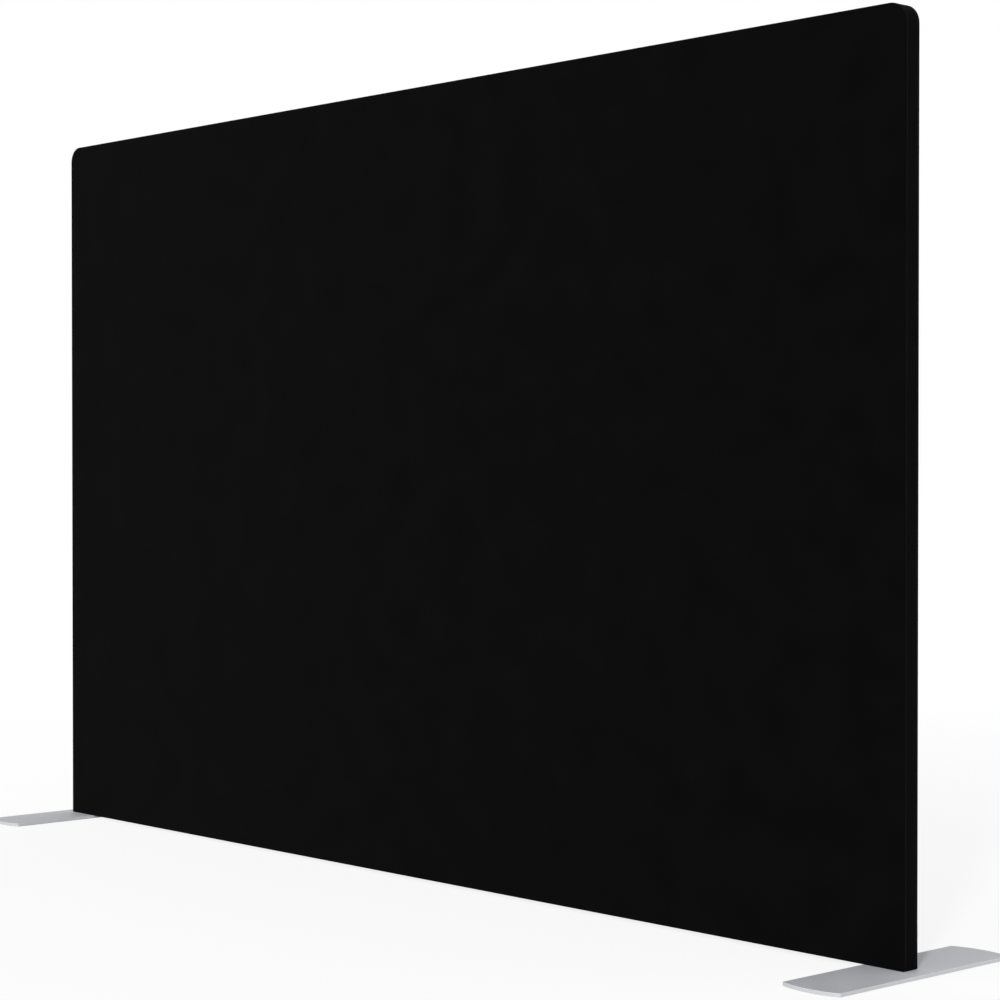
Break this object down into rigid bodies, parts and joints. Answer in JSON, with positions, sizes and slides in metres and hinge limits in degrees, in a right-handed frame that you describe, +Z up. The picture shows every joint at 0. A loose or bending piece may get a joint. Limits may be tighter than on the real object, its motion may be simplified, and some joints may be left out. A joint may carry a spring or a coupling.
{
  "type": "tabletop tube frame display",
  "caption": "Free-standing tabletop display panel: a knock-down square tube frame on two flat swivelling feet, inside a stretched zipped fabric cover.",
  "frame": {"origin": "on the table, under the middle of the panel", "axes": "+X along the panel to the right as seen from the front, +Y from the front to the back, +Z up"},
  "size_m": [2.4806, 0.444, 1.5313],
  "materials": {
    "cover_cloth": "black stretch polyester knit, matt",
    "zip_tape": "black woven zip tape",
    "zip_metal": "black lacquered zinc",
    "silver_paint": "satin silver powder coat on steel plate",
    "pad_rubber": "thin black rubber sheet",
    "aluminium": "satin anodised tube",
    "nylon": "black glass-filled nylon",
    "pin_steel": "nickel plated",
    "spring_steel": "tempered strip",
    "bolt_steel": "zinc plated",
    "insert_brass": "turned, knurled"
  },
  "bodies": {
    "frame": {"foot_bolt_left": "bolt_steel", "foot_insert_left": "insert_brass", "upright_lower_left": "aluminium", "upright_upper_left": "aluminium", "upright_joiner_left": "aluminium", "bottom_rail_left": "aluminium", "top_rail_left": "aluminium", "bottom_corner_left": "nylon", "top_corner_left": "nylon", "fabric_end_left": "cover_cloth", "foot_bolt_right": "bolt_steel", "foot_insert_right": "insert_brass", "upright_lower_right": "aluminium", "upright_upper_right": "aluminium", "upright_joiner_right": "aluminium", "bottom_rail_right": "aluminium", "top_rail_right": "aluminium", "bottom_corner_right": "nylon", "top_corner_right": "nylon", "fabric_end_right": "cover_cloth", "centre_post_lower": "aluminium", "centre_post_upper": "aluminium", "centre_post_joiner": "aluminium", "bottom_tee": "nylon", "top_tee": "nylon", "spring_upright_left": "spring_steel", "spring_upright_right": "spring_steel", "spring_top_corner_left": "spring_steel", "spring_top_corner_right": "spring_steel", "spring_bottom_corner_left": "spring_steel", "spring_bottom_corner_right": "spring_steel", "spring_top_tee": "spring_steel", "spring_bottom_tee": "spring_steel", "spring_post_bottom": "spring_steel", "spring_post_middle": "spring_steel", "spring_post_top": "spring_steel", "fabric_front": "cover_cloth", "fabric_back": "cover_cloth", "fabric_top": "cover_cloth", "fabric_hem": "cover_cloth", "zip_tape_upper": "zip_tape", "zip_tape_lower": "zip_tape"},
    "foot_left": {"foot_plate_left": "silver_paint", "foot_pad_left": "pad_rubber"},
    "foot_right": {"foot_plate_right": "silver_paint", "foot_pad_right": "pad_rubber"},
    "snap_upright_left": {"button_upright_left": "pin_steel"},
    "snap_upright_right": {"button_upright_right": "pin_steel"},
    "snap_top_corner_left": {"button_top_corner_left": "pin_steel"},
    "snap_top_corner_right": {"button_top_corner_right": "pin_steel"},
    "snap_bottom_corner_left": {"button_bottom_corner_left": "pin_steel"},
    "snap_bottom_corner_right": {"button_bottom_corner_right": "pin_steel"},
    "snap_top_tee": {"button_top_tee": "pin_steel"},
    "snap_bottom_tee": {"button_bottom_tee": "pin_steel"},
    "snap_post_bottom": {"button_post_bottom": "pin_steel"},
    "snap_post_middle": {"button_post_middle": "pin_steel"},
    "snap_post_top": {"button_post_top": "pin_steel"},
    "slider": {"zip_slider": "zip_metal"},
    "pull": {"zip_pull": "zip_metal"}
  },
  "joints": [
    {"name": "foot_left_swivel", "type": "hinge", "parent": "frame", "child": "foot_left", "pos_m": [-1.189, 0, 0], "axis": [0, 0, 1], "range_deg": [-90, 90]},
    {"name": "foot_right_swivel", "type": "hinge", "parent": "frame", "child": "foot_right", "pos_m": [1.189, 0, 0], "axis": [0, 0, 1], "range_deg": [-90, 90]},
    {"name": "press_upright_left", "type": "slide", "parent": "frame", "child": "snap_upright_left", "axis": [-1, 0, 0], "range_m": [0, 0.0048], "stiffness_N_per_m": 400, "springref_m": -0.004, "deforming": ["spring_upright_left"]},
    {"name": "press_upright_right", "type": "slide", "parent": "frame", "child": "snap_upright_right", "axis": [1, 0, 0], "range_m": [0, 0.0048], "stiffness_N_per_m": 400, "springref_m": -0.004, "deforming": ["spring_upright_right"]},
    {"name": "press_top_corner_left", "type": "slide", "parent": "frame", "child": "snap_top_corner_left", "axis": [0, 0, 1], "range_m": [0, 0.0048], "stiffness_N_per_m": 400, "springref_m": -0.004, "deforming": ["spring_top_corner_left"]},
    {"name": "press_top_corner_right", "type": "slide", "parent": "frame", "child": "snap_top_corner_right", "axis": [0, 0, 1], "range_m": [0, 0.0048], "stiffness_N_per_m": 400, "springref_m": -0.004, "deforming": ["spring_top_corner_right"]},
    {"name": "press_bottom_corner_left", "type": "slide", "parent": "frame", "child": "snap_bottom_corner_left", "axis": [0, 0, -1], "range_m": [0, 0.0048], "stiffness_N_per_m": 400, "springref_m": -0.004, "deforming": ["spring_bottom_corner_left"]},
    {"name": "press_bottom_corner_right", "type": "slide", "parent": "frame", "child": "snap_bottom_corner_right", "axis": [0, 0, -1], "range_m": [0, 0.0048], "stiffness_N_per_m": 400, "springref_m": -0.004, "deforming": ["spring_bottom_corner_right"]},
    {"name": "press_top_tee", "type": "slide", "parent": "frame", "child": "snap_top_tee", "axis": [0, 0, 1], "range_m": [0, 0.0048], "stiffness_N_per_m": 400, "springref_m": -0.004, "deforming": ["spring_top_tee"]},
    {"name": "press_bottom_tee", "type": "slide", "parent": "frame", "child": "snap_bottom_tee", "axis": [0, 0, -1], "range_m": [0, 0.0048], "stiffness_N_per_m": 400, "springref_m": -0.004, "deforming": ["spring_bottom_tee"]},
    {"name": "press_post_bottom", "type": "slide", "parent": "frame", "child": "snap_post_bottom", "axis": [-1, 0, 0], "range_m": [0, 0.0048], "stiffness_N_per_m": 400, "springref_m": -0.004, "deforming": ["spring_post_bottom"]},
    {"name": "press_post_middle", "type": "slide", "parent": "frame", "child": "snap_post_middle", "axis": [-1, 0, 0], "range_m": [0, 0.0048], "stiffness_N_per_m": 400, "springref_m": -0.004, "deforming": ["spring_post_middle"]},
    {"name": "press_post_top", "type": "slide", "parent": "frame", "child": "snap_post_top", "axis": [-1, 0, 0], "range_m": [0, 0.0048], "stiffness_N_per_m": 400, "springref_m": -0.004, "deforming": ["spring_post_top"]},
    {"name": "zip_slide", "type": "slide", "parent": "frame", "child": "slider", "axis": [-1, 0, 0], "range_m": [0, 2.257]},
    {"name": "zip_pull_flip", "type": "hinge", "parent": "slider", "child": "pull", "pos_m": [1.1285, 0.02139, 0.0623], "axis": [0, 0, -1], "range_deg": [0, 180]}
  ]
}
